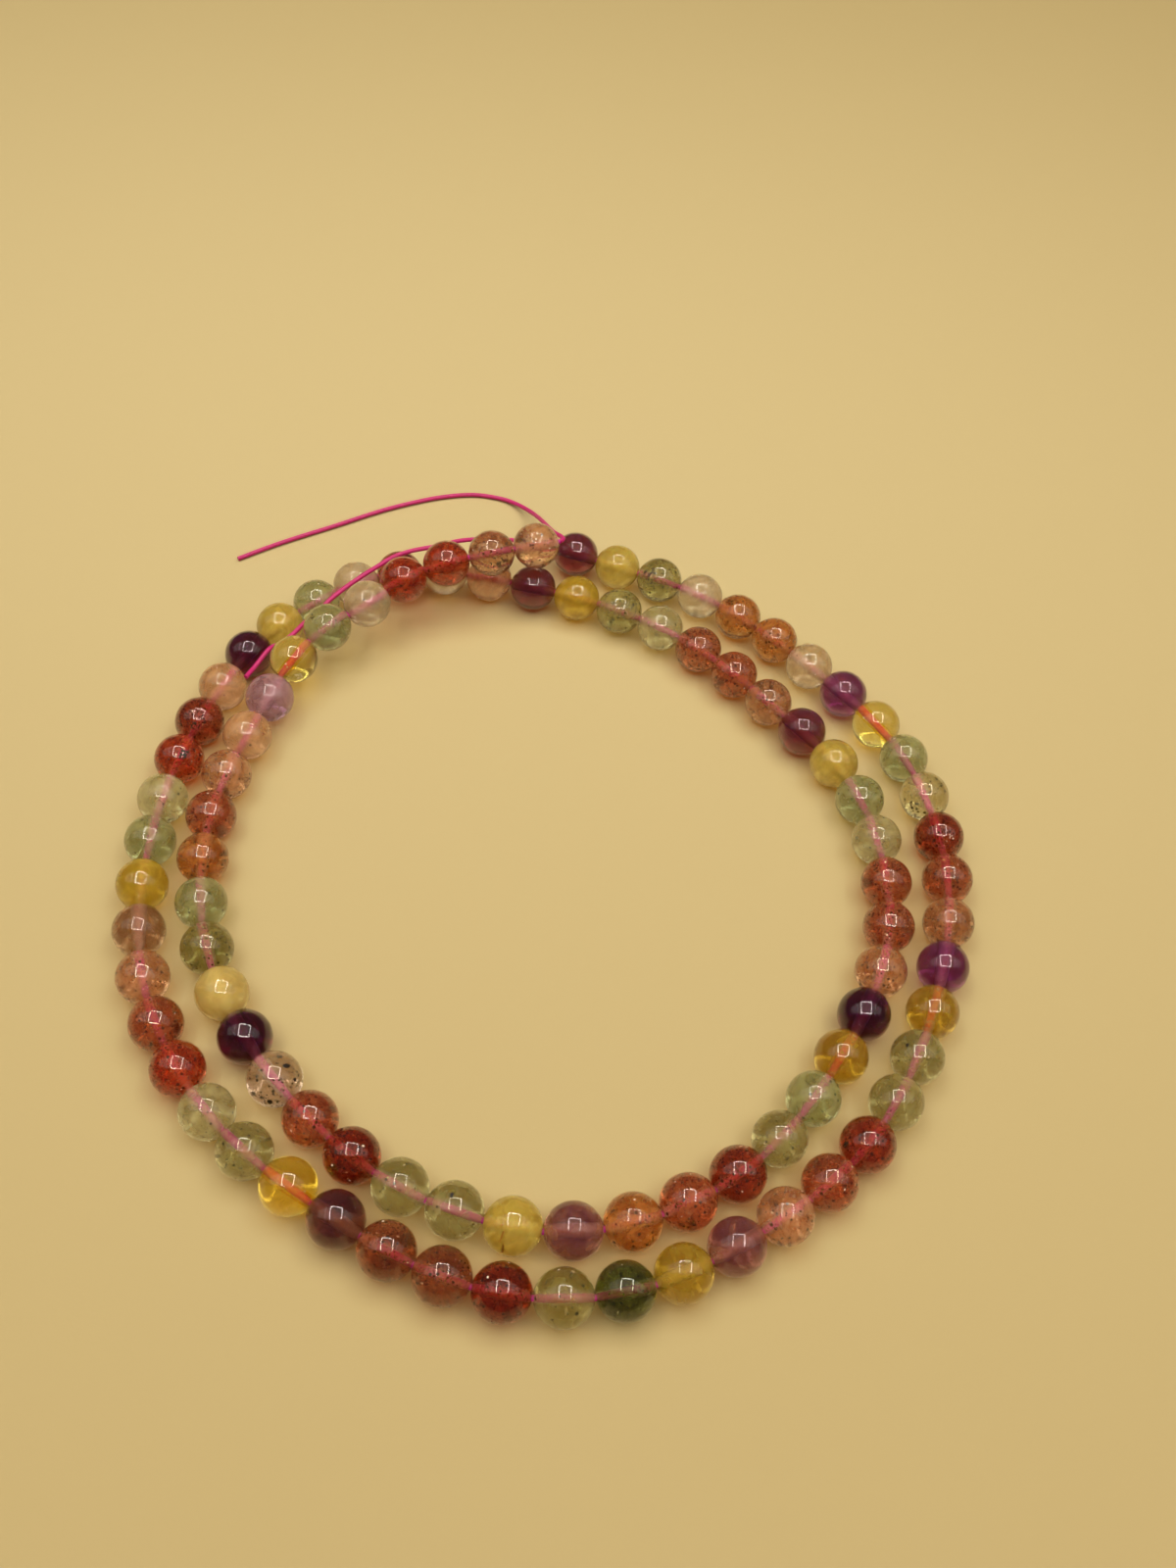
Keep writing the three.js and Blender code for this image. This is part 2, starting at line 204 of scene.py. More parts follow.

# The stone of every bead along the strand. The dark smoky, dark sage, dark strawberry and brown strawberry kinds stand
# mostly at the front of the outer turn, nearest the camera: their darkness is partly the stones' own colour and partly
# painted shade.
CHART = (
    "wine_amethyst milky_citrine moss_quartz clear_quartz tan_strawberry tan_strawberry pale_rose "
    "amethyst clear_citrine mint_quartz rutile_quartz deep_strawberry strawberry_quartz brown_rose "
    "amethyst olive_citrine sage_quartz sage_quartz deep_strawberry strawberry_quartz speckled_rose "
    "smoky_amethyst cloudy_citrine dark_moss_quartz dark_sage_quartz dark_strawberry brown_strawberry brown_strawberry "
    "dark_smoky_amethyst amber_citrine sage_quartz pale_green_quartz red_strawberry strawberry_quartz speckled_rose "
    "light_smoky_amethyst golden_citrine mint_quartz light_green_quartz red_strawberry deep_strawberry rose_quartz "
    "dark_amethyst milky_citrine mint_quartz clear_quartz red_strawberry clear_quartz rose_quartz "
    "wine_amethyst golden_citrine moss_quartz pale_green_quartz speckled_strawberry strawberry_quartz brown_rose "
    "wine_amethyst milky_citrine mint_quartz pale_green_quartz strawberry_quartz speckled_strawberry speckled_rose "
    "dark_amethyst olive_citrine mint_quartz sage_quartz deep_strawberry strawberry_quartz tan_strawberry "
    "smoky_amethyst milky_citrine sage_quartz sage_quartz dark_strawberry strawberry_quartz tourmaline_quartz "
    "dark_amethyst pale_citrine moss_quartz mint_quartz tan_strawberry strawberry_quartz speckled_rose "
    "rose_quartz "
    "lilac_amethyst clear_citrine mint_quartz clear_quartz red_strawberry red_strawberry brown_rose speckled_rose"
).split()

# Crystals that reach the surface of a bead together. The place is given in bead radii right, back
# and up from the bead's middle, and "spread" round it, also in bead radii. "long" is in millimetres,
# and "thin" is the crystal's width over its length.
Cluster = namedtuple("Cluster", "bead right back up spread count long thin")
DARK_CLUSTERS = (
    Cluster(3, -0.48, -0.45, 0.78, 0.22, 14, 0.50, 0.25),
    Cluster(3, -0.33, -0.86, 0.43, 0.22, 14, 0.30, 0.35),
    Cluster(11, -0.53, -0.80, 0.30, 0.25, 22, 0.26, 0.50),
    Cluster(17, -0.55, 0.03, 0.83, 0.05, 3, 0.34, 0.60),
    Cluster(19, -0.84, -0.24, 0.43, 0.12, 10, 0.34, 0.50),
    Cluster(40, 0.39, -0.41, 0.82, 0.16, 14, 0.36, 0.60),
    Cluster(41, 0.07, -0.72, 0.69, 0.40, 26, 0.32, 0.45),
    Cluster(52, 0.58, -0.29, 0.73, 0.10, 5, 0.30, 0.60),
    Cluster(73, -0.08, 0.18, 0.98, 0.07, 7, 0.34, 0.60),
    Cluster(73, -0.45, -0.88, 0.11, 0.10, 7, 0.18, 0.60),
    Cluster(77, 0.49, 0.14, 0.86, 0.00, 1, 0.85, 0.62),
    Cluster(77, 0.81, -0.21, 0.55, 0.02, 2, 0.45, 0.75),
    Cluster(77, 0.05, -0.97, 0.23, 0.02, 2, 0.70, 0.70),
    Cluster(77, -0.20, -0.88, 0.42, 0.40, 26, 0.18, 0.75),
    Cluster(92, 0.41, -0.86, 0.36, 0.28, 30, 0.30, 0.50),
)
AMBER_CLUSTERS = (
    Cluster(72, -0.34, -0.31, 0.88, 0.00, 1, 0.30, 0.45),
    Cluster(72, -0.30, -0.63, 0.71, 0.02, 2, 1.40, 0.12),
    Cluster(72, -0.26, -0.91, 0.32, 0.02, 2, 1.40, 0.12),
)
# Cracks where the stones sparkle: real cracks, with the glint that they catch painted on as a pale colour
CRACK_GLINT_CLUSTERS = (
    Cluster(9, -0.20, -0.85, -0.10, 0.22, 12, 0.30, 0.30),
    Cluster(87, 0.35, -0.88, 0.10, 0.20, 16, 0.30, 0.35),
    Cluster(12, 0.31, -0.56, 0.77, 0.20, 8, 0.22, 0.30),
)

BORE_HAZE = (0.80, 0.62, 0.62)  # the colour of a ground bore in clear stone
SHADE = (0.74, 0.58, 0.30)  # the warm tint of the light that the stones let through to the floor
BEAD_STEPS = 24  # faces along a bead's profile
BEAD_SEGMENTS = 48
CURVE_STEPS = 40  # points of the strand's line between two rows of its route
THREAD_REACH = 0.48  # how far the thread runs straight on each side of a bead's middle, over its diameter
CRYSTAL_THICK = 0.2  # thickness of a flat crystal in a bead's surface, over its width
CRYSTAL_SINKS = 0.08  # depth of such a crystal's middle under the surface, over its width
CLEAR_OF_MOUTH = 0.94  # cosine of the angle to the bore within which no crystal lies

CAMERA_PLACE = (0.003497, -0.097977, 0.150716)
CAMERA_LOOKS_DOWN = 53.411  # degrees
CAMERA_ROLL = 4.972  # degrees
CAMERA_LENS = 34.56  # millimetres
LAMP_MIDDLE = (0.025, 0.003)
LAMP_COLOUR = (1.0, 0.94, 0.84)
SKY_COLOUR = (1.0, 0.95, 0.86, 1)


# ---------- the line of the strand ----------

def smooth_line(corners, steps):
    """Points along a smooth line through the corners, with steps from each to the next."""
    points = [2 * corners[0] - corners[1], *corners, 2 * corners[-1] - corners[-2]]
    line = []
    for before, start, end, after in zip(points, points[1:], points[2:], points[3:]):
        out, into = start + (end - before) / 6, end - (after - start) / 6
        line += geometry.interpolate_bezier(start, out, into, end, steps + 1)[:-1]
    return [*line, corners[-1]]


def evenly_spaced(line, count):
    """That many points at equal steps along a line."""
    lengths = [0.0]
    for start, end in zip(line, line[1:]):
        lengths.append(lengths[-1] + (end - start).length)
    spaced, at = [], 0
    for number in range(count):
        target = lengths[-1] * number / (count - 1)
        while at < len(line) - 2 and lengths[at + 1] < target:
            at += 1
        share = (target - lengths[at]) / (lengths[at + 1] - lengths[at])
        spaced.append(line[at].lerp(line[at + 1], share))
    return spaced


def strand_centres(bead_radius):
    """The centres of the beads, around the middle of the turns."""
    corners = []
    for angle, radius, height in STRAND_ROUTE_MM:
        turn = math.radians(angle)
        corners.append(Vector((radius * math.cos(turn), radius * math.sin(turn), height)) * MM)
    centres = evenly_spaced(smooth_line(corners, CURVE_STEPS), BEAD_COUNT)
    for centre in centres:
        centre.z = max(centre.z, bead_radius)
    return centres


def middle_of(node):
    low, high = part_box(node)
    return (low + high) / 2


BEAD_RADIUS = 3 * MM
ROUND_THE_MIDDLE = strand_centres(BEAD_RADIUS)
PLACE = middle_of("bead_01") - ROUND_THE_MIDDLE[0]
CENTRES = [centre + PLACE for centre in ROUND_THE_MIDDLE]


def bore_direction(index):
    before = CENTRES[max(index - 1, 0)]
    after = CENTRES[min(index + 1, BEAD_COUNT - 1)]
    return (after - before).normalized()


def bead_place(index):
    """The place of a bead whose bore is its Z axis, turned so that its X axis looks down."""
    along = bore_direction(index)
    down = Vector((0, 0, -1))
    down = (down - down.dot(along) * along).normalized()
    turn = Matrix((down, along.cross(down), along)).transposed()
    return Matrix.Translation(CENTRES[index]) @ turn.to_4x4()


def node_of(index):
    """The CAD node that holds a bead."""
    if index < SINGLE_BEADS:
        return f"bead_{index + 1:02d}"
    first = index - (index - SINGLE_BEADS) % STRETCH_BEADS
    return f"beads_{first + 1:02d}_to_{first + STRETCH_BEADS:02d}"


# ---------- settings ----------

class BeadSettings(bpy.types.PropertyGroup):
    """Sizes of the beads."""

    diameter: FloatProperty(
        name="Bead diameter", description="Across a round bead",
        default=6 * MM, min=MM, unit="LENGTH",
    )
    bore: FloatProperty(
        name="Bore diameter", description="Across the hole that the thread runs in",
        default=MM, min=0.4 * MM, unit="LENGTH",
    )
    along: FloatProperty(
        name="Length along the bore", description="Length of a bead along its bore, over its diameter",
        default=1.022, min=1, soft_max=1.1,
    )
    mouth: FloatProperty(
        name="Mouth bevel", description="Width of the polished edge at each end of the bore",
        default=0.03 * MM, min=0, unit="LENGTH",
    )
    seed: IntProperty(
        name="Seed", description="Chooses where the flecks in the stones lie",
        default=7,
    )


class ThreadSettings(bpy.types.PropertyGroup):
    """Size and colour of the elastic thread."""

    diameter: FloatProperty(
        name="Thread diameter", description="Across the elastic thread",
        default=0.6 * MM, min=0.1 * MM, unit="LENGTH",
    )
    colour: FloatVectorProperty(
        name="Thread colour", description="Colour of the elastic thread",
        default=(0.36, 0.005, 0.10), subtype="COLOR", size=3, min=0, max=1,
    )
    # Painted light: the thread in the beads has a lighter, pinker colour than its tails, to make up for the warm shade
    # of the stones around it
    inner_colour_painted_lighter: FloatVectorProperty(
        name="Colour in the beads", description="Colour of the thread where the stones shade it",
        default=(0.42, 0.006, 0.26), subtype="COLOR", size=3, min=0, max=1,
    )


class StageSettings(bpy.types.PropertyGroup):
    """The floor and the light."""

    # The paper's colour in its bright middle; paper_material paints it into a darker shade towards the edges
    floor_colour: FloatVectorProperty(
        name="Floor colour", description="Colour of the paper that the strand lies on",
        default=(0.470, 0.368, 0.172), subtype="COLOR", size=3, min=0, max=1,
    )
    lamp_side: FloatProperty(
        name="Lamp side", description="Length of the bars at the sides of the square lamp",
        default=0.6, min=0.1, unit="LENGTH",
    )
    lamp_height: FloatProperty(
        name="Lamp height", description="Height of the square lamp above the floor",
        default=0.66, min=0.2, unit="LENGTH",
    )
    lamp_bar: FloatProperty(
        name="Lamp bar", description="Width of each bar of the square lamp",
        default=0.038, min=0.005, unit="LENGTH",
    )
    lamp_power: FloatProperty(
        name="Lamp power", description="Power of each bar of the square lamp",
        default=1.1, min=0, unit="POWER",
    )
    ceiling_power: FloatProperty(
        name="Ceiling power", description="Power of the wide ceiling that the stones mirror",
        default=3.5, min=0, unit="POWER",
    )
    soft_power: FloatProperty(
        name="Soft power", description="Power of the soft light that the stones do not mirror",
        default=4.3, min=0, unit="POWER",
    )
    sky: FloatProperty(
        name="Surroundings", description="Brightness of the soft light from all round",
        default=0.07, min=0, subtype="FACTOR",
    )


# ---------- materials ----------

def add_node(tree, kind, inputs=(), **values):
    """A node with its settings, and with plain values or links for its inputs."""
    node = tree.nodes.new(kind)
    for name, value in values.items():
        setattr(node, name, value)
    for socket, value in dict(inputs).items():
        if isinstance(value, bpy.types.NodeSocket):
            tree.links.new(value, node.inputs[socket])
        else:
            node.inputs[socket].default_value = value
    return node


def new_material(name):
    material = bpy.data.materials.new(name)
    material.use_nodes = True
    material.node_tree.nodes.clear()
    return material, material.node_tree


def new_group(name, inputs, outputs):
    """A node group with its named inputs and outputs, and its two end nodes."""
    group = bpy.data.node_groups.new(name, "ShaderNodeTree")
    for label, kind, default in inputs:
        group.interface.new_socket(label, in_out="INPUT", socket_type=kind).default_value = default
    for label, kind in outputs:
        group.interface.new_socket(label, in_out="OUTPUT", socket_type=kind)
    return group, group.nodes.new("NodeGroupInput"), group.nodes.new("NodeGroupOutput")


def vein_group():
    """Soft clouds and fine streaks that run through a stone, as two masks."""
    group, given, made = new_group(
        "Stone veins",
        (("Vector", "NodeSocketVector", (0, 0, 0)), ("Share", "NodeSocketFloat", 0.5)),
        (("Clouds", "NodeSocketFloat"), ("Streaks", "NodeSocketFloat")),
    )
    place = given.outputs["Vector"]
    clouds = add_node(group, "ShaderNodeTexNoise", {
        "Vector": place, "Scale": 380.0, "Detail": 4.0, "Roughness": 0.6, "Distortion": 0.8,
    })
    soft = add_node(group, "ShaderNodeMapRange", {
        "Value": clouds.outputs["Fac"], "From Min": 0.38, "From Max": 0.66,
    }, interpolation_type="SMOOTHSTEP")
    pulled = add_node(group, "ShaderNodeMapping", {"Vector": place, "Scale": (1.0, 0.6, 1.0)})
    streaks = add_node(group, "ShaderNodeTexNoise", {
        "Vector": pulled.outputs[0], "Scale": 2600.0, "Detail": 4.0, "Roughness": 0.7, "Distortion": 0.3,
    })
    fine = add_node(group, "ShaderNodeMapRange", {
        "Value": streaks.outputs["Fac"], "From Min": 0.47, "From Max": 0.68,
    }, interpolation_type="SMOOTHSTEP")
    amount = add_node(group, "ShaderNodeMath", {
        0: fine.outputs["Result"], 1: given.outputs["Share"],
    }, operation="MULTIPLY")
    group.links.new(soft.outputs["Result"], made.inputs["Clouds"])
    group.links.new(amount.outputs[0], made.inputs["Streaks"])
    return group


def speck_group():
    """Small grains scattered through a stone, as one mask."""
    group, given, made = new_group(
        "Stone specks",
        (("Vector", "NodeSocketVector", (0, 0, 0)), ("Share", "NodeSocketFloat", 0.5)),
        (("Specks", "NodeSocketFloat"),),
    )
    cells = add_node(group, "ShaderNodeTexVoronoi", {"Vector": given.outputs["Vector"], "Scale": 2200.0})
    chance = add_node(group, "ShaderNodeSeparateColor", {"Color": cells.outputs["Color"]})
    taken = add_node(group, "ShaderNodeMath", {
        0: chance.outputs["Red"], 1: given.outputs["Share"],
    }, operation="LESS_THAN")
    small = add_node(group, "ShaderNodeMath", {0: chance.outputs["Green"], 1: 2.0}, operation="POWER")
    across = add_node(group, "ShaderNodeMapRange", {"Value": small.outputs[0], "To Min": 0.14, "To Max": 0.42})
    inside = add_node(group, "ShaderNodeMath", {
        0: cells.outputs["Distance"], 1: across.outputs["Result"],
    }, operation="LESS_THAN")
    mask = add_node(group, "ShaderNodeMath", {0: taken.outputs[0], 1: inside.outputs[0]}, operation="MULTIPLY")
    group.links.new(mask.outputs[0], made.inputs["Specks"])
    return group


def stone_material(kind):
    """Polished quartz: clear, coloured by its depth, with milky clouds and streaks."""
    stone = STONES[kind]
    material, tree = new_material(kind)
    veins = add_node(tree, "ShaderNodeGroup", node_tree=shared("veins", vein_group))
    place = add_node(tree, "ShaderNodeTexCoord").outputs["Object"]
    tree.links.new(place, veins.inputs["Vector"])
    veins.inputs["Share"].default_value = stone.veins
    zones = add_node(tree, "ShaderNodeMapRange", {
        "Value": veins.outputs["Clouds"], "To Min": 0.75 if stone.family == "amethyst" else 0.0, "To Max": 0.0,
    })
    tint = add_node(tree, "ShaderNodeMath", {
        0: zones.outputs["Result"], 1: veins.outputs["Streaks"],
    }, operation="MAXIMUM")
    colour = add_node(tree, "ShaderNodeMix", {
        "Factor": tint.outputs[0], "A": (*stone.body, 1), "B": (*stone.vein, 1),
    }, data_type="RGBA")
    milk = add_node(tree, "ShaderNodeBsdfPrincipled", {
        "Base Color": colour.outputs["Result"], "Roughness": 0.03, "IOR": 1.54, "Subsurface Weight": 1.0,
        "Subsurface Radius": (1.0, 0.7, 0.5), "Subsurface Scale": 1.5 * MM,
    })
    clear = add_node(tree, "ShaderNodeBsdfPrincipled", {
        "Base Color": (0.98, 0.98, 0.98, 1), "Roughness": 0.03 + 0.22 * stone.milk, "IOR": 1.54,
        "Transmission Weight": 1.0,
        "Specular Tint": (0.15, 0.15, 0.15, 1), "Coat Weight": 1.0, "Coat Roughness": 0.02, "Coat IOR": 1.54,
    })
    uneven = min(0.5, 0.1 + stone.veins)
    share = add_node(tree, "ShaderNodeMapRange", {
        "Value": veins.outputs["Clouds"], "To Min": stone.milk * (1 - uneven),
        "To Max": min(1.0, stone.milk * (1 + uneven)),
    })
    cloudy = add_node(tree, "ShaderNodeMath", {
        0: share.outputs["Result"], 1: veins.outputs["Streaks"],
    }, operation="MAXIMUM")
    body = add_node(tree, "ShaderNodeMixShader", {0: cloudy.outputs[0], 1: clear.outputs[0], 2: milk.outputs[0]})
    if stone.specks:
        specks = add_node(tree, "ShaderNodeGroup", node_tree=shared("specks", speck_group))
        tree.links.new(place, specks.inputs["Vector"])
        specks.inputs["Share"].default_value = stone.specks
        grain = add_node(tree, "ShaderNodeBsdfPrincipled", {
            "Base Color": (*(0.12 * part + 0.004 for part in stone.body), 1), "Roughness": 0.03, "IOR": 1.54,
        })
        body = add_node(tree, "ShaderNodeMixShader", {
            0: specks.outputs[0], 1: body.outputs[0], 2: grain.outputs[0],
        })
    passed = add_node(tree, "ShaderNodeBsdfTransparent", {
        "Color": (*(warm * (0.7 + 0.3 * part ** 0.5) for warm, part in zip(SHADE, stone.through)), 1),
    })
    path = add_node(tree, "ShaderNodeLightPath")
    surface = add_node(tree, "ShaderNodeMixShader", {
        0: path.outputs["Is Shadow Ray"], 1: body.outputs[0], 2: passed.outputs[0],
    })
    losses = [-math.log(part) / (2 * BEAD_RADIUS) for part in stone.through]
    density = max(losses)
    depth = add_node(tree, "ShaderNodeVolumeAbsorption", {
        "Color": (*(1 - loss / density for loss in losses), 1), "Density": density,
    })
    add_node(tree, "ShaderNodeOutputMaterial", {"Surface": surface.outputs[0], "Volume": depth.outputs[0]})
    return material


def bore_material(kind):
    """The wall of a drilled bore. The thread lies against it, and a cloudy stone hides the thread."""
    stone = STONES[kind]
    material, tree = new_material(f"bore_in_{kind}")
    grain = add_node(tree, "ShaderNodeTexNoise", {
        "Vector": add_node(tree, "ShaderNodeTexCoord").outputs["Object"], "Scale": 260.0, "Detail": 6.0,
        "Roughness": 0.7,
    })
    haze_colour = [
        (1 - stone.wall) * pale + stone.wall * (0.4 + stone.milk) * body / part ** 0.5
        for pale, body, part in zip(BORE_HAZE, stone.body, stone.through)
    ]
    haze = add_node(tree, "ShaderNodeBsdfPrincipled", {"Base Color": (*haze_colour, 1), "Roughness": 0.6})
    share = add_node(tree, "ShaderNodeMapRange", {
        "Value": grain.outputs["Fac"], "From Min": 0.38, "From Max": 0.62, "To Min": max(0.02, stone.wall - 0.22),
        "To Max": min(1.0, stone.wall + 0.18),
    })
    open_part = add_node(tree, "ShaderNodeBsdfTransparent", {
        "Color": (0.98, 0.86, 0.30, 1) if stone.family == "citrine" else (0.96, 0.93, 0.93, 1),
    })
    ground = add_node(tree, "ShaderNodeMixShader", {
        0: share.outputs["Result"], 1: open_part.outputs[0], 2: haze.outputs[0],
    })
    path = add_node(tree, "ShaderNodeLightPath")
    passed = add_node(tree, "ShaderNodeBsdfTransparent", {"Color": (0.75, 0.75, 0.75, 1)})
    surface = add_node(tree, "ShaderNodeMixShader", {
        0: path.outputs["Is Shadow Ray"], 1: ground.outputs[0], 2: passed.outputs[0],
    })
    add_node(tree, "ShaderNodeOutputMaterial", {"Surface": surface.outputs[0]})
    return material


def thread_material(name, colour):
    """Smooth stretchy thread, with fine strands along it."""
    material, tree = new_material(name)
    strands = add_node(tree, "ShaderNodeTexNoise", {
        "Vector": add_node(tree, "ShaderNodeTexCoord").outputs["Object"], "Scale": 2500.0, "Detail": 2.0,
    })
    light = [min(1.0, part * 1.5 + 0.01) for part in colour]
    tone = add_node(tree, "ShaderNodeMix", {
        "Factor": strands.outputs["Fac"], "A": (*colour, 1), "B": (*light, 1),
    }, data_type="RGBA")
    bump = add_node(tree, "ShaderNodeBump", {
        "Strength": 0.3, "Distance": 0.02 * MM, "Height": strands.outputs["Fac"],
    })
    rubber = add_node(tree, "ShaderNodeBsdfPrincipled", {
        "Base Color": tone.outputs["Result"], "Roughness": 0.45, "Normal": bump.outputs[0],
        "Subsurface Weight": 0.4, "Subsurface Radius": (1.0, 0.2, 0.4), "Subsurface Scale": 0.3 * MM,
    })
    add_node(tree, "ShaderNodeOutputMaterial", {"Surface": rubber.outputs[0]})
    return material


def fleck_material(name, colour, roughness):
    """A fine crystal grown inside a stone."""
    material, tree = new_material(name)
    grain = add_node(tree, "ShaderNodeTexNoise", {
        "Vector": add_node(tree, "ShaderNodeTexCoord").outputs["Object"], "Scale": 4000.0,
    })
    tone = add_node(tree, "ShaderNodeMix", {
        "Factor": grain.outputs["Fac"], "A": (*colour, 1), "B": (*(part * 0.5 for part in colour), 1),
    }, data_type="RGBA")
    crystal = add_node(tree, "ShaderNodeBsdfPrincipled", {
        "Base Color": tone.outputs["Result"], "Roughness": roughness,
    })
    add_node(tree, "ShaderNodeOutputMaterial", {"Surface": crystal.outputs[0]})
    return material


def paper_material(colour):
    """Smooth pale paper with painted light: a little darker and yellower away from its bright middle, as a painted
    falloff of the lamp's light.
    """
    material, tree = new_material("pale_paper")
    place = add_node(tree, "ShaderNodeTexCoord").outputs["Object"]
    # Painted light: the place and size of the bright pool on the paper
    middle = add_node(tree, "ShaderNodeMapping", {
        "Vector": place, "Location": (0.12, -0.45, 0), "Scale": (1 / 0.33, 1 / 0.21, 1),
    })
    glow = add_node(tree, "ShaderNodeTexGradient", {"Vector": middle.outputs[0]}, gradient_type="SPHERICAL")
    near = add_node(tree, "ShaderNodeMapRange", {"Value": glow.outputs["Fac"]}, interpolation_type="SMOOTHSTEP")
    # The painted shade that the paper fades to away from its bright pool
    far = [part * fall for part, fall in zip(colour, (0.80, 0.76, 0.64))]
    tone = add_node(tree, "ShaderNodeMix", {
        "Factor": near.outputs["Result"], "A": (*far, 1), "B": (*colour, 1),
    }, data_type="RGBA")
    clouds = add_node(tree, "ShaderNodeTexNoise", {"Vector": place, "Scale": 30.0, "Detail": 5.0})
    soft = add_node(tree, "ShaderNodeMix", {
        "Factor": clouds.outputs["Fac"], "A": tone.outputs["Result"], "B": (0.45, 0.34, 0.16, 1),
    }, data_type="RGBA")
    amount = add_node(tree, "ShaderNodeMix", {
        "Factor": 0.12, "A": tone.outputs["Result"], "B": soft.outputs["Result"],
    }, data_type="RGBA")
    fibres = add_node(tree, "ShaderNodeTexNoise", {"Vector": place, "Scale": 2200.0, "Detail": 2.0})
    bump = add_node(tree, "ShaderNodeBump", {
        "Strength": 0.06, "Distance": 0.1 * MM, "Height": fibres.outputs["Fac"],
    })
    paper = add_node(tree, "ShaderNodeBsdfPrincipled", {
        "Base Color": amount.outputs["Result"], "Roughness": 0.75, "Normal": bump.outputs[0],
    })
    add_node(tree, "ShaderNodeOutputMaterial", {"Surface": paper.outputs[0]})
    return material


MADE = {}


def shared(name, make, *values):
    """A material or node group that several pieces use, made once."""
    if name not in MADE:
        MADE[name] = make(*values)
    return MADE[name]


# ---------- pieces ----------

def add_piece(name, mesh_or_curve, materials):
    piece = bpy.data.objects.new(name, mesh_or_curve)
    bpy.context.scene.collection.objects.link(piece)
    for material in materials:
        piece.data.materials.append(material)
    return piece


def mesh_from(bm, name):
    mesh = bpy.data.meshes.new(name)
    bm.to_mesh(mesh)
    bm.free()
    return mesh


def thread_curve(name, corners, diameter):
    """A round thread through the corners, as one open spline with smooth handles."""
    curve = bpy.data.curves.new(name, "CURVE")
    curve.dimensions = "3D"
    curve.bevel_depth = diameter / 2
    curve.bevel_resolution = 4
    curve.resolution_u = 6
    curve.use_fill_caps = True
    spline = curve.splines.new("BEZIER")
    spline.bezier_points.add(len(corners) - 1)
    points = [2 * corners[0] - corners[1], *corners, 2 * corners[-1] - corners[-2]]
    for knot, before, corner, after in zip(spline.bezier_points, points, points[1:], points[2:]):
        knot.handle_left_type = knot.handle_right_type = "FREE"
        knot.co = corner
        knot.handle_left = corner - (after - before) / 6
        knot.handle_right = corner + (after - before) / 6
    return curve


def line_length(corners):
    line = smooth_line(corners, CURVE_STEPS)
    return sum((end - start).length for start, end in zip(line, line[1:]))


def bead_mesh(index, settings):
    """A round bead with its bore: an arc from one drilled end to the other, spun round the bore."""
    radius, bore = settings.diameter / 2, settings.bore / 2
    start = math.asin(bore / radius)
    bm = bmesh.new()
    first = bm.verts.new((radius * math.sin(start), 0, radius * math.cos(start)))
    arc = bmesh.ops.spin(
        bm, geom=[first], cent=(0, 0, 0), axis=(0, 1, 0), dvec=(0, 0, 0), angle=math.pi - 2 * start,
        steps=BEAD_STEPS, use_duplicate=False,
    )
    last = next(part for part in arc["geom_last"] if isinstance(part, bmesh.types.BMVert))
    bm.edges.new((last, first))
    bmesh.ops.spin(
        bm, geom=bm.verts[:] + bm.edges[:], cent=(0, 0, 0), axis=(0, 0, 1), dvec=(0, 0, 0), angle=math.tau,
        steps=BEAD_SEGMENTS, use_merge=True, use_duplicate=False,
    )
    for face in bm.faces:
        face.smooth = True
        face.material_index = int(all((vert.co.xy.length < bore * 1.01) for vert in face.verts))
    mouth = [edge for edge in bm.edges if len({face.material_index for face in edge.link_faces}) == 2]
    bmesh.ops.bevel(
        bm, geom=mouth, offset=settings.mouth, offset_type="OFFSET", segments=2, profile=0.5,
        affect="EDGES", material=-1,
    )
    bmesh.ops.recalc_face_normals(bm, faces=bm.faces)
    bmesh.ops.transform(bm, matrix=bead_place(index) @ Matrix.Diagonal((1, 1, settings.along, 1)), verts=bm.verts)
    return mesh_from(bm, f"stone_{index + 1:02d}")


def add_bead(index):
    settings = bpy.context.scene.bracelet_beads
    kind = CHART[index]
    materials = (shared(kind, stone_material, kind), shared(f"bore_in_{kind}", bore_material, kind))
    piece = add_piece(f"stone_{index + 1:02d}_{kind}", bead_mesh(index, settings), materials)
    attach(piece, BODY)
    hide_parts(node_of(index))


def in_stone(draw, index, settings, edge):
    """A random place inside a bead, clear of its bore and its surface."""
    radius, bore = settings.diameter / 2, settings.bore / 2
    while True:
        at = Vector((draw.uniform(-1, 1), draw.uniform(-1, 1), draw.uniform(-1, 1))).normalized()
        at *= (radius - edge) * draw.uniform(0.2, 1) ** 0.4
        if at.xy.length > bore + edge:
            return bead_place(index) @ at


def flat_in_surface(index, out, half, width, turn):
    """The place and shape of a flat crystal that lies in a bead's surface, where "out" points from its middle."""
    settings = bpy.context.scene.bracelet_beads
    reach = settings.diameter / 2 * (1 + (settings.along - 1) * out.dot(bore_direction(index)) ** 2)
    place = Matrix.Translation(CENTRES[index] + out * (reach - CRYSTAL_SINKS * width))
    facing = out.to_track_quat("Z", "X").to_matrix().to_4x4()
    shape = Matrix.Diagonal((half, width, width * CRYSTAL_THICK, 1))
    return place @ facing @ Matrix.Rotation(turn, 4, "Z") @ shape


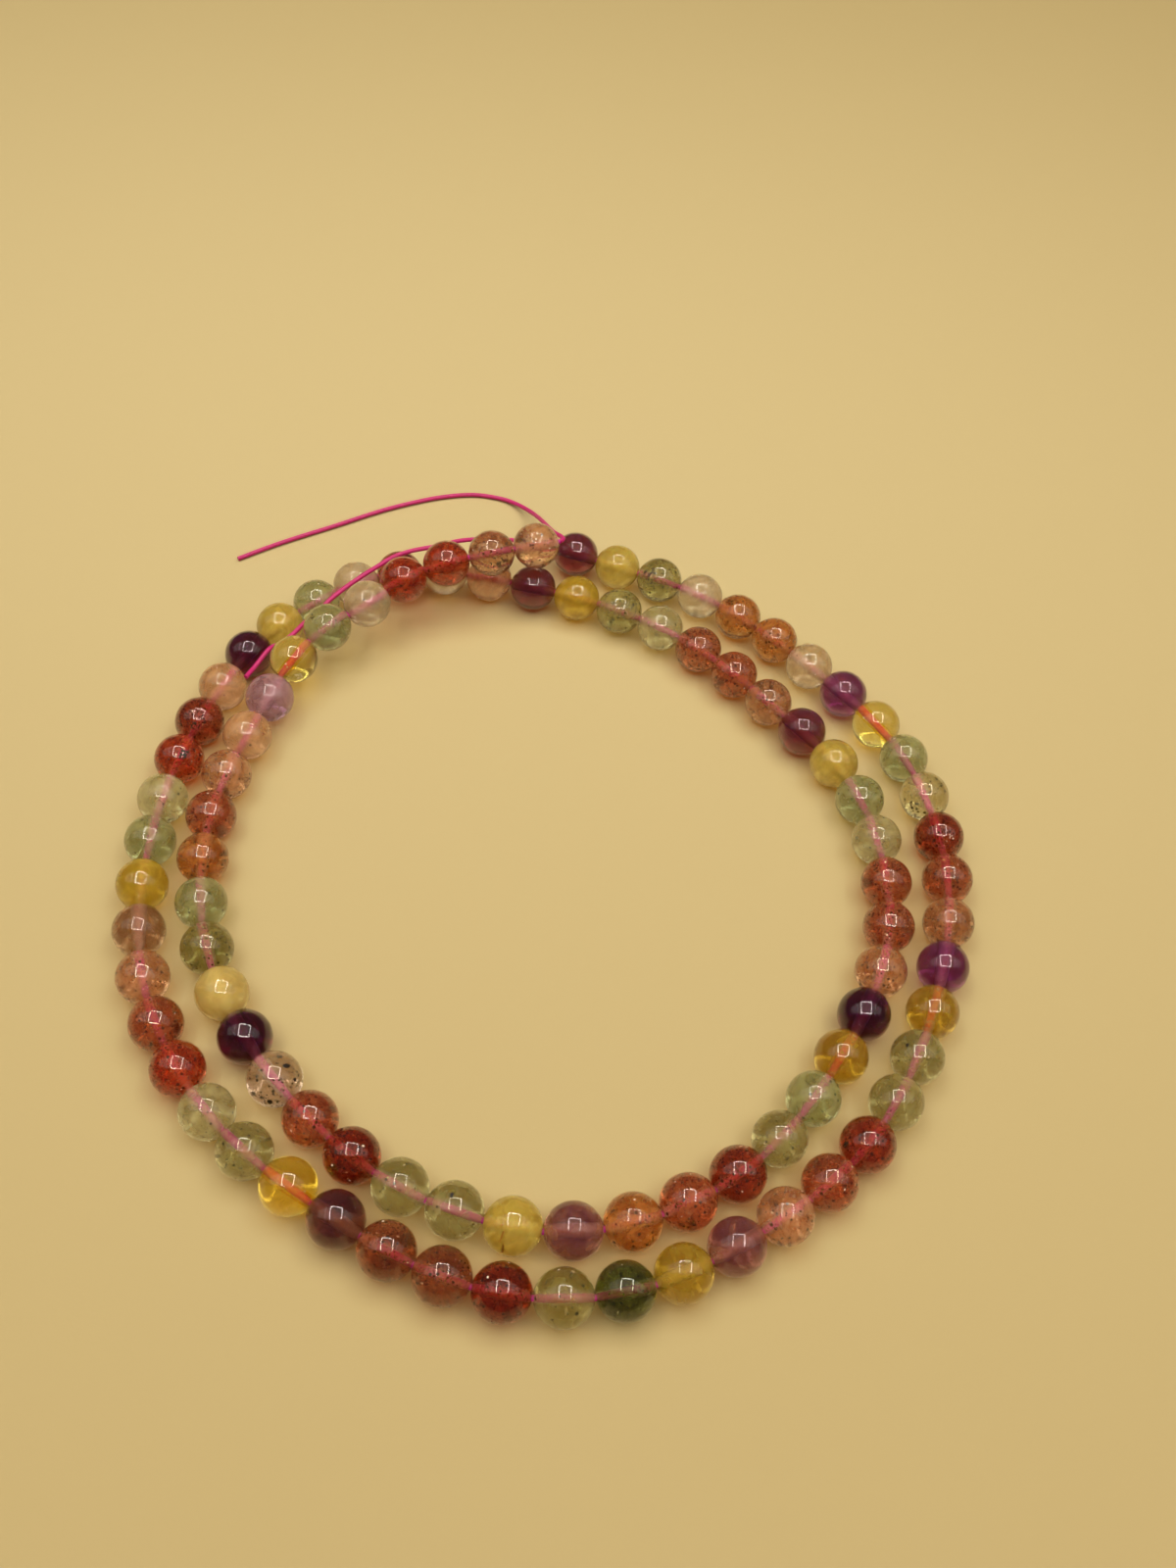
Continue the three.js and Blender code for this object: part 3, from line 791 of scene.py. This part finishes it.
def flecks_mesh(index, count, draw, settings, size, stretch):
    """The crystals of one kind in one bead: small uneven grains and needles, in the stone and in its surface."""
    bm = bmesh.new()
    for _ in range(count * 2 // 3):
        out = Vector([draw.gauss(0, 1) for _ in range(3)]).normalized()
        if abs(out.dot(bore_direction(index))) < CLEAR_OF_MOUTH:
            half = size * draw.uniform(0.5, 2.2)
            place = flat_in_surface(index, out, half, half * draw.uniform(0.35, 0.9), draw.uniform(0, math.tau))
            bmesh.ops.create_icosphere(bm, subdivisions=1, radius=1, matrix=place)
    for _ in range(count):
        long = size * draw.uniform(0.5, 1.6)
        at = in_stone(draw, index, settings, long * stretch + 0.1 * MM)
        axis = Vector((draw.uniform(-1, 1), draw.uniform(-1, 1), draw.uniform(0.1, 1)))
        shape = Matrix.Diagonal((long * stretch, long, long * draw.uniform(0.25, 0.9), 1))
        place = Matrix.Translation(at) @ Matrix.Rotation(draw.uniform(0, math.tau), 4, axis) @ shape
        bmesh.ops.create_icosphere(bm, subdivisions=1, radius=1, matrix=place)
    return mesh_from(bm, "flecks")


def add_flecks(name, column, material, size, stretch):
    """The crystals of one kind in all the stones, as one joined mesh."""
    settings = bpy.context.scene.bracelet_beads
    draw = random.Random(settings.seed + len(name))
    joined = bmesh.new()
    for index, kind in enumerate(CHART):
        count = getattr(STONES[kind], column)
        if count:
            part = flecks_mesh(index, count, draw, settings, size, stretch)
            joined.from_mesh(part)
            bpy.data.meshes.remove(part)
    piece = add_piece(name, mesh_from(joined, name), (material,))
    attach(piece, BODY)


def add_clusters(name, clusters, material, draw_round=math.tau):
    """Flat crystals that lie in the surface of some beads, as one joined mesh."""
    draw = random.Random(bpy.context.scene.bracelet_beads.seed + len(name))
    bm = bmesh.new()
    for row in clusters:
        towards = Vector((row.right, row.back, row.up))
        for _ in range(row.count):
            out = (towards + Vector([draw.gauss(0, row.spread / 2) for _ in range(3)])).normalized()
            half = row.long * MM / 2 * (draw.uniform(0.4, 1.3) if row.spread > 0.05 else 1)
            place = flat_in_surface(row.bead - 1, out, half, half * row.thin, draw.uniform(0, draw_round))
            bmesh.ops.create_icosphere(bm, subdivisions=2, radius=1, matrix=place)
    piece = add_piece(name, mesh_from(bm, name), (material,))
    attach(piece, BODY)


# ---------- operators ----------

class BRACELET_OT_camera(bpy.types.Operator):
    """Add the camera, which looks down on the strand from the front"""

    bl_idname = "bracelet.camera"
    bl_label = "Camera"

    def execute(self, context):
        data = bpy.data.cameras.new("camera")
        data.sensor_width = 36
        data.lens = CAMERA_LENS
        data.clip_start = 0.005
        camera = bpy.data.objects.new("camera", data)
        context.scene.collection.objects.link(camera)
        tilt, roll = math.radians(90 - CAMERA_LOOKS_DOWN), math.radians(CAMERA_ROLL)
        turned = Matrix.Rotation(tilt, 4, "X") @ Matrix.Rotation(roll, 4, "Z")
        camera.matrix_world = Matrix.Translation(CAMERA_PLACE) @ turned
        context.scene.camera = camera
        return {"FINISHED"}


class BRACELET_OT_tails(bpy.types.Operator):
    """Add the two loose tails of the thread"""

    bl_idname = "bracelet.tails"
    bl_label = "Thread tails"

    def execute(self, context):
        diameter = context.scene.bracelet_thread.diameter
        elastic = thread_material("elastic_thread", tuple(context.scene.bracelet_thread.colour))
        for name, route in (("thread_tail_long", LONG_TAIL_ROUTE_MM), ("thread_tail_short", SHORT_TAIL_ROUTE_MM)):
            corners = [Vector(point) * MM + PLACE for point in route]
            piece = add_piece(f"{name}_elastic", thread_curve(name, corners, diameter), (elastic,))
            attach(piece, BODY)
            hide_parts(name)
            line_length(corners)
        return {"FINISHED"}


class BRACELET_OT_thread(bpy.types.Operator):
    """Add the thread that runs through the beads"""

    bl_idname = "bracelet.thread"
    bl_label = "Thread in the beads"

    def execute(self, context):
        diameter = context.scene.bracelet_thread.diameter
        # The thread in the beads takes its lighter, pinker painted colour, which makes up for the stones' shade
        elastic = thread_material("thread_painted_lighter_in_beads", tuple(context.scene.bracelet_thread.inner_colour_painted_lighter))
        for name, first, last in (
            ("thread_in_single_beads", 0, SINGLE_BEADS - 1),
            ("thread_in_joined_beads", SINGLE_BEADS - 1, BEAD_COUNT - 1),
        ):
            corners = []
            for index in range(first, last + 1):
                reach = bore_direction(index) * THREAD_REACH * BEAD_RADIUS * 2
                corners += [CENTRES[index] - reach, CENTRES[index] + reach]
            if first:
                corners[0:1] = []
                corners[-1] = Vector(LONG_TAIL_ROUTE_MM[0]) * MM + PLACE
            else:
                corners[0] = Vector(SHORT_TAIL_ROUTE_MM[0]) * MM + PLACE
            piece = add_piece(name, thread_curve(name, corners, diameter), (elastic,))
            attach(piece, BODY)
            if not first:
                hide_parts("thread")
        return {"FINISHED"}


class BRACELET_OT_beads(bpy.types.Operator):
    """Add the beads of quartz, each with its own stone"""

    bl_idname = "bracelet.beads"
    bl_label = "Beads"

    def execute(self, context):
        if len(CHART) != BEAD_COUNT:
            raise RuntimeError(f"the chart names {len(CHART)} stones for {BEAD_COUNT} beads")
        for index in range(BEAD_COUNT):
            add_bead(index)
        return {"FINISHED"}


class BRACELET_OT_flecks(bpy.types.Operator):
    """Add the fine crystals and cracks inside the stones"""

    bl_idname = "bracelet.flecks"
    bl_label = "Flecks in the stones"

    def execute(self, context):
        red = fleck_material("red_crystal", (0.13, 0.014, 0.006), 0.35)
        dark = fleck_material("dark_crystal", (0.012, 0.006, 0.003), 0.4)
        amber = fleck_material("amber_crystal", (0.30, 0.12, 0.008), 0.3)
        # Pale cracks: real cracks with their glint painted in as a pale colour
        bright = fleck_material("crack_glint", (0.95, 0.80, 0.60), 0.1)
        add_flecks("red_flecks", "red", red, 0.07 * MM, 2.4)
        add_flecks("dark_flecks", "dark", dark, 0.075 * MM, 1.6)
        add_flecks("bright_flecks", "cracks", bright, 0.08 * MM, 1.8)
        add_clusters("dark_clusters", DARK_CLUSTERS, dark)
        add_clusters("amber_needles", AMBER_CLUSTERS, amber, draw_round=0.1)
        add_clusters("bright_clusters", CRACK_GLINT_CLUSTERS, bright)
        return {"FINISHED"}


class BRACELET_OT_stage(bpy.types.Operator):
    """Add the floor and the soft studio light"""

    bl_idname = "bracelet.stage"
    bl_label = "Stage"

    def execute(self, context):
        scene, settings = context.scene, context.scene.bracelet_stage
        bm = bmesh.new()
        bmesh.ops.create_grid(bm, x_segments=1, y_segments=1, size=1.5)
        paper = paper_material(tuple(settings.floor_colour))
        floor = add_piece("paper_floor", mesh_from(bm, "paper_floor"), (paper,))
        side, wide, bar = settings.lamp_side, settings.lamp_side * 0.86, settings.lamp_bar
        for name, across, x, y, lift, power in (
            ("lamp_back", (wide, bar), 0, side / 2, 0, settings.lamp_power),
            ("lamp_front", (wide, bar), 0, -side / 2, 0, settings.lamp_power),
            ("lamp_left", (bar, side), -wide / 2, 0, 0, settings.lamp_power),
            ("lamp_right", (bar, side), wide / 2, 0, 0, settings.lamp_power),
            ("strip_left", (bar, side), -side * 0.85, 0, 0, settings.lamp_power / 8),
            ("strip_right", (bar, side), side * 0.85, 0, 0, settings.lamp_power / 8),
            ("ceiling", (5 * side, side), 0, 0, 0.02, settings.ceiling_power),
            ("soft_ceiling", (2 * side, side), 0, 0, 0.04, settings.soft_power),
        ):
            place = (LAMP_MIDDLE[0] + x, LAMP_MIDDLE[1] + y, settings.lamp_height + lift)
            lamp = self.add_lamp(scene, name, across, place, power)
            lamp.visible_glossy = name != "soft_ceiling"
        self.add_card(scene)
        world = bpy.data.worlds.new("soft_surroundings")
        world.use_nodes = True
        world.node_tree.nodes["Background"].inputs["Color"].default_value = SKY_COLOUR
        world.node_tree.nodes["Background"].inputs["Strength"].default_value = settings.sky
        scene.world = world
        scene.view_settings.view_transform = "Standard"
        return {"FINISHED"}

    def add_lamp(self, scene, name, across, place, power):
        data = bpy.data.lights.new(name, "AREA")
        data.shape = "RECTANGLE"
        data.size, data.size_y = across
        data.energy = power
        data.color = LAMP_COLOUR
        lamp = bpy.data.objects.new(name, data)
        lamp.location = place
        scene.collection.objects.link(lamp)
        return lamp

    def add_card(self, scene):
        """A dark card just behind the camera, seen only in reflections."""
        bm = bmesh.new()
        place = scene.camera.matrix_world @ Matrix.Translation((0, -0.014, 0.004))
        place = place @ Matrix.Diagonal((0.14, 0.021, 1, 1))
        bmesh.ops.create_grid(bm, x_segments=1, y_segments=1, size=1, matrix=place)
        dark = fleck_material("dark_card", (0.05, 0.045, 0.04), 0.8)
        card = add_piece("dark_card", mesh_from(bm, "dark_card"), (dark,))
        card.visible_camera = card.visible_diffuse = card.visible_transmission = card.visible_shadow = False


class BRACELET_PT_panel(bpy.types.Panel):
    """The steps that make the bracelet, in order"""

    bl_idname = "BRACELET_PT_panel"
    bl_label = "Crystal Bracelet"
    bl_space_type = "VIEW_3D"
    bl_region_type = "UI"
    bl_category = "Bracelet"

    def draw(self, context):
        for group in ("bracelet_beads", "bracelet_thread", "bracelet_stage"):
            settings = getattr(context.scene, group)
            box = self.layout.box()
            for name in settings.__annotations__:
                box.prop(settings, name)
        for step in STEPS:
            self.layout.operator(step.bl_idname)


GROUPS = {"bracelet_beads": BeadSettings, "bracelet_thread": ThreadSettings, "bracelet_stage": StageSettings}
STEPS = (
    BRACELET_OT_camera, BRACELET_OT_tails, BRACELET_OT_thread,
    BRACELET_OT_beads, BRACELET_OT_flecks, BRACELET_OT_stage,
)


def register():
    for group in (*GROUPS.values(), *STEPS, BRACELET_PT_panel):
        bpy.utils.register_class(group)
    for name, group in GROUPS.items():
        setattr(bpy.types.Scene, name, PointerProperty(type=group))


def unregister():
    for name in GROUPS:
        delattr(bpy.types.Scene, name)
    for group in reversed((*GROUPS.values(), *STEPS, BRACELET_PT_panel)):
        bpy.utils.unregister_class(group)


def main():
    register()
    bpy.ops.bracelet.camera()
    bpy.ops.bracelet.tails()
    bpy.ops.bracelet.thread()
    bpy.ops.bracelet.beads()
    bpy.ops.bracelet.flecks()
    bpy.ops.bracelet.stage()


if __name__ == "__main__":
    main()
